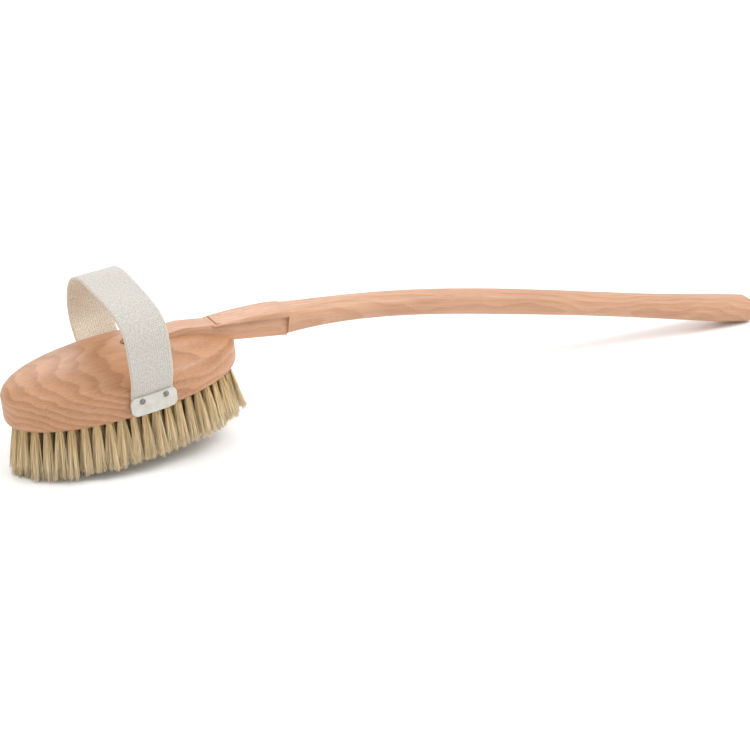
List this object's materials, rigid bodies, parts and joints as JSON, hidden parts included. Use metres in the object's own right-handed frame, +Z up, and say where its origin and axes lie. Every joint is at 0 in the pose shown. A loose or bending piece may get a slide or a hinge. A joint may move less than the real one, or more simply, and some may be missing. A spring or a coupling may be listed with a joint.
{
  "type": "body dry brush",
  "caption": "Long-handled body dry brush: oval domed wooden head with natural bristle tufts, a webbing hand strap and a curved handle that slides out of a dovetail.",
  "frame": {"origin": "on the table, under the middle of the brush's length and on its centre plane", "axes": "+X from the head towards the handle's end, +Y to the far side, +Z up; the brush stands as on a table, on its nose bristles and the end of the handle"},
  "size_m": [0.4716, 0.0808, 0.0975],
  "materials": {
    "beech_head": "fine-sanded beech, satin",
    "beech_handle": "fine-sanded beech, satin",
    "webbing": "undyed woven cotton",
    "ivory_plate": "moulded, satin",
    "nail_steel": "plain steel",
    "anchor_steel": "flat wire",
    "bristle": "natural bristle, matt"
  },
  "bodies": {
    "head": {"head_block": "beech_head", "strap": "webbing", "strap_plate_front": "ivory_plate", "strap_plate_back": "ivory_plate", "nail_front_left": "nail_steel", "nail_front_right": "nail_steel", "nail_back_left": "nail_steel", "nail_back_right": "nail_steel", "tuft_ring_1": "bristle", "tuft_ring_2": "bristle", "tuft_ring_3": "bristle", "tuft_ring_4": "bristle", "tuft_ring_5": "bristle", "tuft_ring_6": "bristle", "anchor_ring_1": "anchor_steel", "anchor_ring_2": "anchor_steel", "anchor_ring_3": "anchor_steel", "anchor_ring_4": "anchor_steel", "anchor_ring_5": "anchor_steel", "anchor_ring_6": "anchor_steel"},
    "handle": {"handle": "beech_handle"}
  },
  "joints": [
    {"name": "handle_slide", "type": "slide", "parent": "head", "child": "handle", "axis": [0.9949, 0, -0.1012], "range_m": [0, 0.045]}
  ]
}
